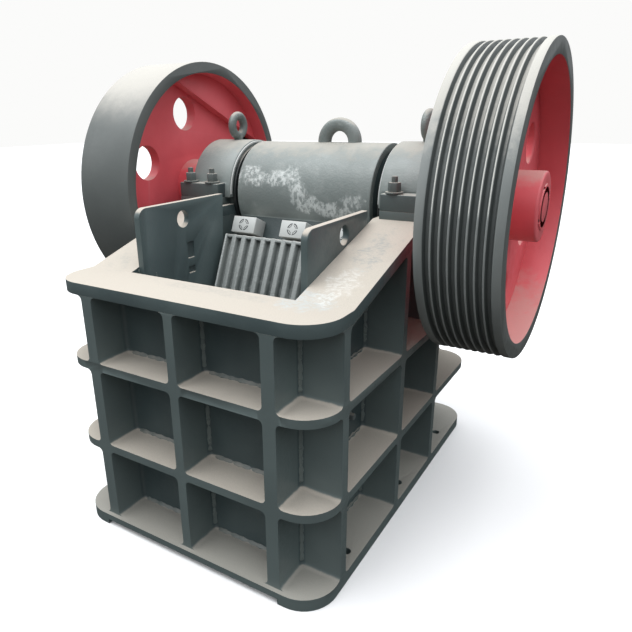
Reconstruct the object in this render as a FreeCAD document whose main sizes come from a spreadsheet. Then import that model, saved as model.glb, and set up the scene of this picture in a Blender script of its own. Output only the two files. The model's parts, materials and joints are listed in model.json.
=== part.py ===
import FreeCAD, Part

import os
import re

import Sketcher

# Jaw crusher: a welded plate frame with a fixed jaw at the front (-Y), a swing jaw hung on an
# eccentric shaft along X, a flywheel on the left (-X) and a grooved drive pulley on the right.
# The origin is the centre of the anchor bolt pattern, on the floor, with +Z up.
# Sizes are in millimetres and degrees; one that starts with = follows from others.

doc = FreeCAD.newDocument("JawCrusher")

SIZES = {
    # Anchor bolts: three a side, along the frame.
    "anchor_pitch": 481,
    "anchor_gauge": 996,
    "anchor_hole": 34,
    # Frame box: plates of the crushing chamber and what reaches out from them.
    "side_span": 788,
    "side_thickness": 47,
    "side_reach": 151,
    "front_face": -617,
    "front_thickness": 39,
    "front_reach": 138,
    "rear_face": 631,
    "rear_thickness": 39,
    "rear_reach": 134,
    "corner_radius": 125,
    "rib_thickness": 36,
    "mid_rib_back": -120,
    "bearing_rib_back": 274,
    # Levels of the frame.
    "base_thickness": 45,
    "base_lip": 16,
    "foot_relief": 20,
    "lower_shelf_top": 360,
    "upper_shelf_top": 685,
    "shelf_thickness": 30,
    "rim_height": 973,
    "flange_thickness": 43,
    "rim_overhang": 19,
    # Shaft line and bearings.
    "shaft_line": 256,
    "shaft_height": 1180,
    "shaft_diameter": 170,
    "journal_diameter": 150,
    "shaft_shoulder": 20,
    "shaft_end": 10,
    "shaft_bore_gap": 0.5,
    "seat_height": 1138,
    "cap_radius": 218,
    "lug_toe": 48,
    "seat_half_length": "=cap_radius + lug_toe",
    "bearing_inset": 2,
    "bearing_inner": "=side_span / 2 - side_thickness - bearing_inset",
    "bearing_width": 205,
    "lug_outset": 25,
    "lug_inner": "=side_span / 2 - side_thickness + lug_outset",
    "lug_width": 208,
    "lug_depth": 60,
    "lug_pad": 30,
    "housing_radius": 190,
    "seat_gap": 0.3,
    "stud_clearance": 24,
    "stud_offset": "=cap_radius + stud_clearance",
    "stud_diameter": 27,
    "stud_length": 62,
    "stud_inset": 45,
    "nut_flats": 41,
    "nut_height": 34,
    "cover_radius": 196,
    "cover_thickness": 14,
    "eye_shank": 40,
    "eye_radius": 42,
    "eye_bar": 18,
    "eye_rise": 59,
    # Wheels.
    "wheel_diameter": 1100,
    "wheel_outset": 63,
    "wheel_inner": "=side_span / 2 + side_reach + wheel_outset",
    "flywheel_width": 281,
    "pulley_width": 272,
    "flywheel_rim": 47,
    "pulley_rim": 56,
    "web_thickness": 50,
    "wheel_bore_gap": 0.3,
    "hub_radius": 125,
    "hub_length": 272,
    "hub_inset": 6,
    "wheel_hole": 150,
    "wheel_hole_radius": 335,
    "wheel_hole_turn": 7.5,
    "weight_chord": 372,
    "weight_height": 45,
    "weight_turn": 24.8,
    "groove_pitch": 27.5,
    "groove_depth": 20,
    "groove_floor": 9,
    "groove_ridge": 5,
    "groove_land": 26,
    # Swing jaw.
    "barrel_radius": 212,
    "barrel_side_gap": 39,
    "barrel_half": "=side_span / 2 - side_thickness - barrel_side_gap",
    "end_cover_radius": 180,
    "end_cover_thickness": 12,
    "end_cover_sink": 3,
    "jaw_lean": 24.3,
    "plate_top_line": -79,
    "plate_top": 1040,
    "plate_bottom": 250,
    "plate_thickness": 70,
    "plate_side_gap": 59,
    "plate_half": "=side_span / 2 - side_thickness - plate_side_gap",
    "tooth_pitch": 48,
    "tooth_height": 24,
    "stock_side_gap": 57,
    "stock_half": "=side_span / 2 - side_thickness - stock_side_gap",
    "stock_back": 165,
    "stock_bottom": 235,
    "stock_rise": 250,
    "stock_face": 105,
    "stock_step": -12,
    "stock_heel": 400,
    "stock_toe": 40,
    "stock_root_back": 148,
    "stock_root_drop": 121,
    "clamp_width": 114,
    "clamp_length": 68,
    "clamp_face": 30,
    "clamp_gap": 16,
    "clamp_edge_gap": 62,
    "clamp_left": "=clamp_edge_gap - plate_half",
    "clamp_middle": 12,
    "clamp_right": "=plate_half - clamp_edge_gap",
    "lifting_line": 70,
    "lifting_gap": 0.1,
    "lifting_outer": 96,
    "lifting_thickness": 50,
    "lifting_rise": 212,
    "lifting_hole": 28,
    "lifting_hole_rise": 240,
    # Fixed jaw and cheeks.
    "fixed_thickness": 75,
    "fixed_bottom": 220,
    "fixed_top": 925,
    "cheek_thickness": 25,
    "cheek_bottom": 330,
    "cheek_lap": 50,
    "cheek_nose": 40,
    "cheek_nose_drop": 36,
    "cheek_hole": 66,
    "cheek_left_front": -521,
    "cheek_left_rear": -40,
    "cheek_left_top": 1195,
    "cheek_left_hole_line": -292,
    "cheek_left_hole_height": 1128,
    "cheek_right_front": -486,
    "cheek_right_rear": -52,
    "cheek_right_top": 1173,
    "cheek_right_hole_line": -236,
    "cheek_right_hole_height": 1115,
    # Toggle at the back.
    "toggle_height": 330,
    "toggle_thickness": 40,
    "toggle_gap": 0.5,
    "toggle_seat_depth": 150,
    "toggle_seat_height": 200,
}

sheet = doc.addObject("Spreadsheet::Sheet", "Sizes")
for row, (alias, value) in enumerate(SIZES.items(), start=1):
    sheet.set(f"A{row}", alias)
    sheet.set(f"B{row}", str(value))
    sheet.setAlias(f"B{row}", alias)
doc.recompute()


def cells(text):
    """An expression in which each size's name points at its cell in the sheet."""
    def cell(match):
        word = match.group()
        return f"Sizes.{word}" if word in SIZES else word
    return re.sub(r"[a-z_]+", cell, str(text))


def bind(item, **sizes):
    """Bind properties of an object to expressions; a double underscore stands for a dot."""
    for name, text in sizes.items():
        item.setExpression(name.replace("__", "."), cells(text))
    return item


def place(item, x="0", y="0", z="0"):
    return bind(item, Placement__Base__x=x, Placement__Base__y=y, Placement__Base__z=z)


def box(name, x, y, z):
    """A box from three (low, high) pairs of expressions."""
    item = doc.addObject("Part::Box", name)
    bind(item, Length=f"({x[1]}) - ({x[0]})", Width=f"({y[1]}) - ({y[0]})", Height=f"({z[1]}) - ({z[0]})")
    return place(item, x[0], y[0], z[0])


def cylinder(name, radius, span, axis="Z", at=("0", "0")):
    """A cylinder along an axis, from span[0] to span[1], centred on two crossways expressions."""
    item = doc.addObject("Part::Cylinder", name)
    bind(item, Radius=radius, Height=f"({span[1]}) - ({span[0]})")
    turn = {"X": ((0, 1, 0), 90), "Y": ((1, 0, 0), -90), "Z": ((0, 0, 1), 0)}[axis]
    item.Placement = FreeCAD.Placement(FreeCAD.Vector(), FreeCAD.Rotation(FreeCAD.Vector(*turn[0]), turn[1]))
    where = {"X": (span[0], *at), "Y": (at[0], span[0], at[1]), "Z": (*at, span[0])}[axis]
    return place(item, *where)


def join(kind, name, shapes):
    item = doc.addObject(kind, name)
    if kind == "Part::Compound":
        item.Links = shapes
    else:
        item.Shapes = shapes
    return item


def fuse(name, *shapes):
    return join("Part::MultiFuse", name, list(shapes))


def common(name, *shapes):
    return join("Part::MultiCommon", name, list(shapes))


def group(name, shapes):
    return join("Part::Compound", name, list(shapes))


def cut(name, base, *tools):
    item = doc.addObject("Part::Cut", name)
    item.Base = base
    item.Tool = tools[0] if len(tools) == 1 else group(name + "_tools", tools)
    return item


def mirrored(name, source):
    item = doc.addObject("Part::Mirroring", name)
    item.Source = source
    item.Normal = FreeCAD.Vector(1, 0, 0)
    return item


def origin_plane(body, role):
    return next(item for item in body.Origin.OriginFeatures if item.Role == role)


def number(text):
    """The present value of an expression."""
    return float(sheet.evalExpression(cells(text)))


def sketch_on(body, plane, offset="0"):
    sketch = body.newObject("Sketcher::SketchObject", body.Name + "_outline")
    sketch.AttachmentSupport = (origin_plane(body, plane), [""])
    sketch.MapMode = "FlatFace"
    return bind(sketch, AttachmentOffset__Base__z=offset)


def outline(body, plane, points, offset="0"):
    """A closed sketch of straight lines, each corner held by two expressions."""
    sketch = sketch_on(body, plane, offset)
    spots = [FreeCAD.Vector(number(across), number(up), 0) for across, up in points]
    for start, end in zip(spots, spots[1:] + spots[:1]):
        sketch.addGeometry(Part.LineSegment(start, end), False)
    for index in range(len(points)):
        sketch.addConstraint(Sketcher.Constraint("Coincident", index, 2, (index + 1) % len(points), 1))
    for index, (across, up) in enumerate(points):
        for kind, text in (("DistanceX", across), ("DistanceY", up)):
            where = sketch.addConstraint(Sketcher.Constraint(kind, -1, 1, index, 1, number(text)))
            sketch.setExpression(f"Constraints[{where}]", cells(text))
    return sketch


def prism(name, plane, points, start, end):
    """An outline on an origin plane, padded from one distance along its normal to another."""
    body = doc.addObject("PartDesign::Body", name)
    sketch = outline(body, plane, points, start)
    pad = body.newObject("PartDesign::Pad", name + "_pad")
    pad.Profile = sketch
    bind(pad, Length=f"({end}) - ({start})")
    return body


def spun(name, points):
    """An outline of (distance along X, radius) turned about the X axis."""
    body = doc.addObject("PartDesign::Body", name)
    sketch = outline(body, "XY_Plane", points)
    turn = body.newObject("PartDesign::Revolution", name + "_turn")
    turn.Profile = sketch
    turn.ReferenceAxis = (sketch, ["H_Axis"])
    turn.Angle = 360
    return place(body, "0", "shaft_line", "shaft_height")


# Places that many pieces share.
OUTSIDE = "side_span / 2"
INSIDE = "side_span / 2 - side_thickness"
EDGE = "side_span / 2 + side_reach"
FRONT_EDGE = "front_face - front_reach"
REAR_EDGE = "rear_face + rear_reach"
FRONT_INSIDE = "front_face + front_thickness"
REAR_INSIDE = "rear_face - rear_thickness"
RIM_FRONT = FRONT_INSIDE + " + rim_overhang"
RIM_REAR = REAR_INSIDE + " - rim_overhang"
RIM_UNDER = "rim_height - flange_thickness"
SEAT_FRONT = "shaft_line - seat_half_length"
SEAT_REAR = "shaft_line + seat_half_length"
SEAT_UNDER = "seat_height - flange_thickness"
SHAFT = ("shaft_line", "shaft_height")
TIERS = (
    ("base_thickness", "lower_shelf_top - shelf_thickness"),
    ("lower_shelf_top", "upper_shelf_top - shelf_thickness"),
)


def both_ways(span):
    """A span along X and its mirror image."""
    return span, (f"-({span[1]})", f"-({span[0]})")


# Frame box.
SIDE_TOP = [
    (REAR_INSIDE, RIM_UNDER),
    (RIM_REAR + " - flange_thickness", RIM_UNDER),
    (SEAT_REAR + " - flange_thickness", SEAT_UNDER),
    (SEAT_FRONT, SEAT_UNDER),
    (RIM_FRONT, RIM_UNDER),
]
housing_notch = cylinder("housing_notch", "housing_radius + seat_gap",
                         (f"{INSIDE} - 20", f"{EDGE} + 20"), "X", SHAFT)


def side_plate():
    """The chamber's side plate, with the round seat for the bearing housing."""
    points = [(FRONT_INSIDE, "0"), (REAR_INSIDE, "0"), *SIDE_TOP, (FRONT_INSIDE, RIM_UNDER)]
    return cut("side_wall_right", prism("side_plate", "YZ_Plane", points, INSIDE, OUTSIDE), housing_notch)


def side_flange():
    """The band on top of the side plate: up the slope, level under the bearing, down at the back."""
    points = [
        (RIM_FRONT, "rim_height"),
        (SEAT_FRONT, "seat_height"),
        (SEAT_REAR, "seat_height"),
        (RIM_REAR, "rim_height"),
        (RIM_REAR, RIM_UNDER),
        *SIDE_TOP[1:],
    ]
    return cut("top_flange_right", prism("side_band", "YZ_Plane", points, INSIDE, EDGE), housing_notch)


def rounded_plan(name, front, rear, height):
    """The frame's whole plan with rounded corners."""
    points = [(f"-({EDGE})", front), (EDGE, front), (EDGE, rear), (f"-({EDGE})", rear)]
    body = prism(name, "XY_Plane", points, "0", height)
    doc.recompute()
    pad = body.Tip
    corners = [f"Edge{index}" for index, edge in enumerate(pad.Shape.Edges, start=1) if upright(edge)]
    fillet = body.newObject("PartDesign::Fillet", f"{name}_corners")
    fillet.Base = (pad, corners)
    bind(fillet, Radius="corner_radius")
    return body


def upright(edge):
    low, high = edge.BoundBox.ZMin, edge.BoundBox.ZMax
    return high - low > edge.Length / 2


plan = rounded_plan("frame_plan", FRONT_EDGE, REAR_EDGE, "rim_height")
BASE_FRONT = f"{FRONT_EDGE} - base_lip"
BASE_REAR = f"{REAR_EDGE} + base_lip"
base_plan = rounded_plan("base_plan", BASE_FRONT, BASE_REAR, "base_thickness")
FRONT_STRIP = (FRONT_EDGE, "front_face")
REAR_STRIP = ("rear_face", REAR_EDGE)
SIDE_STRIP = ("front_face", "rear_face")
ACROSS = (f"-({EDGE})", EDGE)
SHELVES = (
    ("lower_shelf_top - shelf_thickness", "lower_shelf_top"),
    ("upper_shelf_top - shelf_thickness", "upper_shelf_top"),
)


def end_shelves(name, strip):
    """The two shelves across one end, with rounded corners."""
    strips = [box(f"{name}_strip", ACROSS, strip, level) for level in SHELVES]
    return common(name, group(f"{name}_strips", strips), plan)


def end_base(name, strip):
    """The base flange across one end, raised off the floor between the two feet."""
    whole = common(f"{name}_strip", box(f"{name}_box", ACROSS, strip, ("0", "base_thickness")), base_plan)
    relief = box(f"{name}_relief", (f"-({OUTSIDE})", OUTSIDE), strip, ("0", "foot_relief"))
    return cut(name, whole, relief)


def end_ribs(name, strip):
    """Upright ribs on one end wall: the side plates carried forward, and one in the middle."""
    places = [("-rib_thickness / 2", "rib_thickness / 2"), *both_ways((INSIDE, OUTSIDE))]
    levels = [*TIERS, ("upper_shelf_top", RIM_UNDER)]
    return group(name, [box(f"{name}_rib", across, strip, level) for across in places for level in levels])


def side_base():
    """The base flange along one side, with its three anchor holes."""
    strip = box("side_foot", (OUTSIDE, EDGE), SIDE_STRIP, ("0", "base_thickness"))
    holes = [cylinder("anchor_hole", "anchor_hole / 2", ("-1", "base_thickness + 1"),
                      at=("anchor_gauge / 2", f"{step} * anchor_pitch")) for step in (-1, 0, 1)]
    return cut("base_flange_right", strip, *holes)


def side_ribs():
    """Upright ribs on one side: in line with the front wall, in the middle and under the bearing."""
    places = [
        ("front_face", FRONT_INSIDE),
        ("mid_rib_back - rib_thickness", "mid_rib_back"),
        ("bearing_rib_back - rib_thickness", "bearing_rib_back"),
    ]
    levels = [*TIERS, ("upper_shelf_top", "seat_height")]
    boxes = [box("side_rib", (OUTSIDE, EDGE), along, level) for along in places for level in levels]
    points = [("front_face", "0"), ("rear_face", "0"), ("rear_face", RIM_UNDER), *SIDE_TOP[1:],
              ("front_face", RIM_UNDER)]
    under = prism("under_side_band", "YZ_Plane", points, OUTSIDE, EDGE)
    return cut("ribs_right", common("side_rib_tops", group("side_rib_boxes", boxes), under), housing_notch)


box("front_wall", (f"-({OUTSIDE})", OUTSIDE), ("front_face", FRONT_INSIDE), ("0", RIM_UNDER))
box("rear_wall", (f"-({OUTSIDE})", OUTSIDE), (REAR_INSIDE, "rear_face"), ("0", RIM_UNDER))
mirrored("side_wall_left", side_plate())
mirrored("top_flange_left", side_flange())
end_base("base_flange_front", (BASE_FRONT, "front_face"))
end_base("base_flange_rear", ("rear_face", BASE_REAR))
mirrored("base_flange_left", side_base())
end_shelves("shelves_front", FRONT_STRIP)
end_shelves("shelves_rear", REAR_STRIP)
mirrored("shelves_left", group("shelves_right", [box("side_shelf", (OUTSIDE, EDGE), SIDE_STRIP, level)
                                                 for level in SHELVES]))
common("top_flange_front", box("front_rim", ACROSS, (FRONT_EDGE, RIM_FRONT), (RIM_UNDER, "rim_height")), plan)
common("top_flange_rear", box("rear_rim", ACROSS, (RIM_REAR, REAR_EDGE), (RIM_UNDER, "rim_height")), plan)
end_ribs("ribs_front", FRONT_STRIP)
end_ribs("ribs_rear", REAR_STRIP)
mirrored("ribs_left", side_ribs())


# Jaw plates, with upright teeth.
def toothed(face, back, ridge_first):
    """A jaw plate's section: a flat back, and flat-topped ridges with flat grooves between them."""
    count = round(2 * number("plate_half") / number("tooth_pitch"))
    step = f"(2 * plate_half / {count})"
    floor = f"({face}) + tooth_height * {1 if number(face) < number(back) else -1}"
    edge, middle = (face, floor) if ridge_first else (floor, face)
    points = [("plate_half", back), ("-plate_half", back)]
    for index in range(count):
        for share, level in ((0.0, edge), (0.2, edge), (0.35, middle), (0.65, middle), (0.8, edge)):
            points.append((f"-plate_half + ({index} + {share}) * {step}", level))
    return [*points, ("plate_half", edge)]


prism("fixed_jaw_plate", "XY_Plane", toothed(f"{FRONT_INSIDE} + fixed_thickness", FRONT_INSIDE, False),
      "fixed_bottom", "fixed_top")

JAW_TURN = FreeCAD.Rotation(FreeCAD.Vector(1, 0, 0), -1)


def on_jaw_face(item, back="0"):
    """Lean an object built against the swing plate's face, with its top edge at the face's top."""
    item.Placement = FreeCAD.Placement(FreeCAD.Vector(), JAW_TURN)
    bind(item, Placement__Rotation__Angle="-jaw_lean")
    return place(item, "0", "plate_top_line", "plate_top")


PLATE_LENGTH = "(plate_top - plate_bottom) / cos(jaw_lean)"
on_jaw_face(prism("swing_jaw_plate", "XY_Plane", toothed("0", "plate_thickness", True), f"-{PLATE_LENGTH}",
                    "0"))
clamp_boxes = [
    box("clamp", (f"{where} - clamp_width / 2", f"{where} + clamp_width / 2"),
        ("clamp_face", "stock_face"), ("clamp_gap", "clamp_gap + clamp_length"))
    for where in ("clamp_left", "clamp_middle", "clamp_right")
]
on_jaw_face(group("jaw_clamp_blocks", clamp_boxes))


def cheek(side):
    """A cheek plate welded inside a side plate, shown on the right, with a lifting hole."""
    front, rear, top = (f"cheek_{side}_{place}" for place in ("front", "rear", "top"))
    points = [
        (front, "cheek_bottom"),
        (f"{rear} - cheek_lap", "cheek_bottom"),
        (rear, top),
        (f"{front} + cheek_nose", top),
        (front, f"{top} - cheek_nose_drop"),
    ]
    plate = prism(f"cheek_{side}_blank", "YZ_Plane", points, f"{INSIDE} - cheek_thickness", INSIDE)
    hole = cylinder(f"cheek_{side}_hole", "cheek_hole / 2",
                    (f"{INSIDE} - cheek_thickness - 1", f"{INSIDE} + 1"),
                    "X", (f"cheek_{side}_hole_line", f"cheek_{side}_hole_height"))
    return plate, hole


cut("cheek_plate_right", *cheek("right"))
mirrored("cheek_plate_left", cut("cheek_left_shape", *cheek("left")))


# Bearings: a lower housing in the frame's seat and a cap bolted down on it.
LUG = ("lug_inner", "lug_inner + lug_width")
LUG_ALONG = ("shaft_line - seat_half_length", "shaft_line + seat_half_length")
SPLIT = "seat_height + lug_pad"
HOUSING = ("bearing_inner", "bearing_inner + bearing_width")


def shaft_hole(name, radius="shaft_diameter / 2 + shaft_bore_gap"):
    return cylinder(name, radius, ("bearing_inner - 60", "lug_inner + lug_width + 60"), "X", SHAFT)


def bearing_base():
    pad = box("base_pad", LUG, LUG_ALONG, ("seat_height", SPLIT))
    tub = cylinder("base_tub", "housing_radius", HOUSING, "X", SHAFT)
    lower = box("lower_half", ("bearing_inner - 1", "lug_inner + lug_width + 1"),
                ("shaft_line - housing_radius - 100", "shaft_line + housing_radius + 100"), ("0", SPLIT))
    return cut("bearing_base_right", common("base_casting", fuse("base_whole", pad, tub), lower),
               shaft_hole("base_bore"))


def bearing_cap():
    lug = box("cap_lug", LUG, LUG_ALONG, (SPLIT, f"{SPLIT} + lug_depth"))
    dome = cylinder("cap_dome", "cap_radius", HOUSING, "X", SHAFT)
    upper = box("upper_half", ("bearing_inner - 1", "lug_inner + lug_width + 1"),
                ("shaft_line - 2 * cap_radius", "shaft_line + 2 * cap_radius"),
                (SPLIT, "shaft_height + 2 * cap_radius"))
    return cut("bearing_cap_right", common("cap_casting", fuse("cap_whole", lug, dome), upper),
               shaft_hole("cap_bore"))


mirrored("bearing_base_left", bearing_base())
mirrored("bearing_cap_left", bearing_cap())


def cap_studs():
    """Four studs with hexagon nuts on one cap's lugs."""
    parts = []
    top = f"{SPLIT} + lug_depth"
    for across in ("lug_inner + stud_inset", "lug_inner + lug_width - stud_inset"):
        for along in ("shaft_line - stud_offset", "shaft_line + stud_offset"):
            nut = doc.addObject("Part::Prism", "cap_nut")
            nut.Polygon = 6
            bind(nut, Circumradius="nut_flats / sqrt(3)", Height="nut_height")
            place(nut, across, along, top)
            stud = cylinder("cap_stud", "stud_diameter / 2", (top, f"{top} + stud_length"),
                            at=(across, along))
            parts.append(fuse("cap_stud_nut", nut, stud))
    return group("cap_studs_right", parts)


mirrored("cap_studs_left", cap_studs())


def cover_pair():
    """A round cover on the inner face of each bearing, towards the swing jaw."""
    span = ("bearing_inner - cover_thickness", "bearing_inner")
    disc = cylinder("cover_disc", "cover_radius", span, "X", SHAFT)
    cover = cut("cover_right", disc, shaft_hole("cover_bore"))
    return group("bearing_covers", [cover, mirrored("cover_left", cover)])


def cap_eyes():
    """A lifting eye screwed into the top of each bearing cap, its ring across the shaft."""
    where = "bearing_inner + bearing_width / 2"
    crown = "shaft_height + cap_radius + eye_rise"
    ring = doc.addObject("Part::Torus", "eye_ring")
    ring.Placement = FreeCAD.Placement(FreeCAD.Vector(), FreeCAD.Rotation(FreeCAD.Vector(0, 1, 0), 90))
    bind(ring, Radius1="eye_radius", Radius2="eye_bar")
    place(ring, where, "shaft_line", crown)
    shank = cylinder("eye_shank", "eye_shank / 2", ("shaft_height", f"{crown} - eye_radius"),
                     at=(where, "shaft_line"))
    dome = cylinder("cap_under_eye", "cap_radius", HOUSING, "X", SHAFT)
    eye = cut("cap_eye_right", fuse("eye_blank", ring, shank), dome)
    return group("cap_eyes", [eye, mirrored("cap_eye_left", eye)])


cap_eyes()
cover_pair()


# Rotor: eccentric shaft with a wheel on each end.
def shaft_body():
    end = "wheel_inner + flywheel_width - hub_inset"
    step = "wheel_inner - shaft_shoulder"
    other = "wheel_inner + pulley_width + shaft_end"
    return spun("eccentric_shaft", [
        (f"-({end})", "0"), (f"-({end})", "journal_diameter / 2"), (f"-({step})", "journal_diameter / 2"),
        (f"-({step})", "shaft_diameter / 2"), (step, "shaft_diameter / 2"), (step, "journal_diameter / 2"),
        (other, "journal_diameter / 2"), (other, "0"),
    ])


shaft_body()
WHEEL_BORE = "journal_diameter / 2 + wheel_bore_gap"


def ring_section(width, rim, grooves):
    """Half section of a wheel's rim on the +X side."""
    outer = f"wheel_inner + {width}"
    inside = f"wheel_diameter / 2 - {rim}"
    return [
        ("wheel_inner", "wheel_diameter / 2"), *grooves, (outer, "wheel_diameter / 2"), (outer, inside),
        ("wheel_inner", inside),
    ]


def web_section(width, rim):
    """Half section of a wheel's web, in the middle of the rim, and its hub."""
    web = (f"wheel_inner + {width} / 2 - web_thickness / 2", f"wheel_inner + {width} / 2 + web_thickness / 2")
    hub = ("wheel_inner + hub_inset", "wheel_inner + hub_inset + hub_length")
    inside = f"wheel_diameter / 2 - {rim}"
    return [
        (web[1], inside), (web[1], "hub_radius"), (hub[1], "hub_radius"), (hub[1], WHEEL_BORE),
        (hub[0], WHEEL_BORE), (hub[0], "hub_radius"), (web[0], "hub_radius"), (web[0], inside),
    ]


def belt_grooves(count=8):
    """V grooves round the drive pulley, between thin ridges."""
    points = []
    top, floor = "wheel_diameter / 2", "wheel_diameter / 2 - groove_depth"
    for index in range(count):
        middle = f"wheel_inner + groove_land + ({index} + 0.5) * groove_pitch"
        half_top, half_floor = "(groove_pitch - groove_ridge) / 2", "groove_floor / 2"
        points += [(f"{middle} - {half_top}", top), (f"{middle} - {half_floor}", floor),
                   (f"{middle} + {half_floor}", floor), (f"{middle} + {half_top}", top)]
    return points


def wheel_holes(name, along, count):
    """Round holes through a wheel's web, a sixth of a turn apart."""
    holes = []
    for index in range(count):
        angle = f"(wheel_hole_turn + {60 * index})"
        holes.append(cylinder(f"{name}_hole", "wheel_hole / 2", along, "X",
                              (f"shaft_line - wheel_hole_radius * sin({angle})",
                               f"shaft_height + wheel_hole_radius * cos({angle})")))
    return holes


spun("drive_pulley_ring", ring_section("pulley_width", "pulley_rim", belt_grooves()))
PULLEY_SPAN = ("wheel_inner", "wheel_inner + pulley_width")
cut("drive_pulley_web", spun("pulley_web", web_section("pulley_width", "pulley_rim")),
    *wheel_holes("pulley", PULLEY_SPAN, 6))

mirrored("flywheel_ring", spun("flywheel_rim", ring_section("flywheel_width", "flywheel_rim", [])))
FLYWHEEL_SPAN = ("-(wheel_inner + flywheel_width)", "-wheel_inner")


def flywheel_web():
    """The plain wheel's web, with a counterweight beyond a straight chord where a sixth hole would be."""
    half_disc = spun("flywheel_half_disc", web_section("flywheel_width", "flywheel_rim"))
    disc = mirrored("flywheel_disc", half_disc)
    face = "-(wheel_inner + flywheel_width / 2 - web_thickness / 2)"
    slab = cylinder("weight_disc", "wheel_diameter / 2 - flywheel_rim - seat_gap",
                    (face, f"{face} + weight_height"), "X", SHAFT)
    half = box("weight_half", ("-wheel_diameter", "wheel_diameter"), ("-wheel_diameter", "wheel_diameter"),
               ("weight_chord", "wheel_diameter"))
    half.Placement = FreeCAD.Placement(FreeCAD.Vector(), FreeCAD.Rotation(FreeCAD.Vector(1, 0, 0), -1))
    bind(half, Placement__Rotation__Angle="-weight_turn")
    sides = ("-wheel_diameter * cos(weight_turn) + weight_chord * sin(weight_turn)",
             "weight_chord * cos(weight_turn) + wheel_diameter * sin(weight_turn)")
    place(half, "-wheel_diameter", f"shaft_line + {sides[0]}", f"shaft_height + {sides[1]}")
    whole = fuse("flywheel_whole", disc, common("counterweight", slab, half))
    return cut("flywheel_web", whole, *wheel_holes("flywheel", FLYWHEEL_SPAN, 5))


flywheel_web()


# Swing jaw: a barrel on the shaft, and a stock that hangs forward and carries the plate.
def leaning(depth, along):
    """A point at a depth behind the swing plate's face and a distance along it from its top edge."""
    return (f"plate_top_line + ({depth}) * cos(jaw_lean) + ({along}) * sin(jaw_lean)",
            f"plate_top - ({depth}) * sin(jaw_lean) + ({along}) * cos(jaw_lean)")


def swing_jaw():
    barrel = cylinder("jaw_barrel", "barrel_radius", ("-barrel_half", "barrel_half"), "X", SHAFT)
    back = leaning("plate_thickness", "0")
    foot = f"{back[0]} - ({back[1]} - stock_bottom) * tan(jaw_lean)"
    points = [
        leaning("stock_face", "stock_rise"),
        leaning("stock_face", "stock_step"),
        leaning("plate_thickness", "stock_step"),
        (foot, "stock_bottom"),
        (f"{foot} + stock_back", "stock_bottom + stock_toe"),
        (f"{foot} + stock_back", "stock_heel"),
        ("shaft_line + stock_root_back", "shaft_height - stock_root_drop"),
    ]
    stock = prism("jaw_stock", "YZ_Plane", points, "-stock_half", "stock_half")
    bore = cylinder("jaw_bore", "shaft_diameter / 2 + shaft_bore_gap",
                    ("-barrel_half - 1", "barrel_half + 1"), "X", SHAFT)
    recesses = [cylinder("jaw_end_recess", "end_cover_radius + seat_gap", span, "X", SHAFT)
                for span in both_ways(("barrel_half - end_cover_thickness", "barrel_half + 1"))]
    return cut("swing_jaw", fuse("jaw_casting", barrel, stock), bore, *recesses)


def jaw_end_covers():
    """A flat ring let into each end of the barrel."""
    rings = []
    for span in both_ways(("barrel_half - end_cover_thickness", "barrel_half - end_cover_sink")):
        disc = cylinder("jaw_end_disc", "end_cover_radius", span, "X", SHAFT)
        hole = cylinder("jaw_end_hole", "shaft_diameter / 2 + shaft_bore_gap",
                        (f"{span[0]} - 1", f"{span[1]} + 1"), "X", SHAFT)
        rings.append(cut("jaw_end_ring", disc, hole))
    return group("jaw_end_covers", rings)


def lifting_ring():
    """A thick eye cast to stand on the barrel, its hole running fore and aft."""
    middle = "shaft_height + lifting_rise"
    along = ("shaft_line - lifting_thickness / 2", "shaft_line + lifting_thickness / 2")
    head = cylinder("ring_head", "lifting_outer", along, "Y", ("lifting_line", middle))
    leg = box("ring_leg", ("lifting_line - lifting_outer", "lifting_line + lifting_outer"), along,
              ("shaft_height", middle))
    hole = cylinder("ring_hole", "lifting_hole", along, "Y",
                    ("lifting_line", "shaft_height + lifting_hole_rise"))
    barrel = cylinder("ring_seat", "barrel_radius + lifting_gap", ("-barrel_half", "barrel_half"), "X", SHAFT)
    return cut("jaw_lifting_ring", fuse("ring_blank", head, leg), hole, barrel)


swing_jaw()
jaw_end_covers()
lifting_ring()

# Toggle behind the jaw, and its seat on the rear wall.
TOGGLE_FRONT = ("plate_top_line + plate_thickness * cos(jaw_lean)"
                " - (plate_top - plate_thickness * sin(jaw_lean) - stock_bottom) * tan(jaw_lean)"
                " + stock_back + toggle_gap")
box("toggle_plate", ("-stock_half", "stock_half"), (TOGGLE_FRONT, f"{REAR_INSIDE} - toggle_seat_depth"),
    ("toggle_height - toggle_thickness / 2", "toggle_height + toggle_thickness / 2"))
box("toggle_seat", (f"-({INSIDE})", INSIDE), (f"{REAR_INSIDE} - toggle_seat_depth", REAR_INSIDE),
    ("toggle_height - toggle_seat_height / 2", "toggle_height + toggle_seat_height / 2"))


# The finished pieces, each written to its own file.
NODES = """
side_wall_left side_wall_right front_wall rear_wall
base_flange_front base_flange_rear base_flange_left base_flange_right
shelves_front shelves_rear shelves_left shelves_right
top_flange_front top_flange_rear top_flange_left top_flange_right
ribs_front ribs_rear ribs_left ribs_right
fixed_jaw_plate cheek_plate_left cheek_plate_right
bearing_base_left bearing_base_right bearing_cap_left bearing_cap_right
cap_studs_left cap_studs_right bearing_covers cap_eyes
toggle_plate toggle_seat
eccentric_shaft flywheel_ring flywheel_web drive_pulley_ring drive_pulley_web
swing_jaw swing_jaw_plate jaw_clamp_blocks jaw_end_covers jaw_lifting_ring
""".split()

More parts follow.
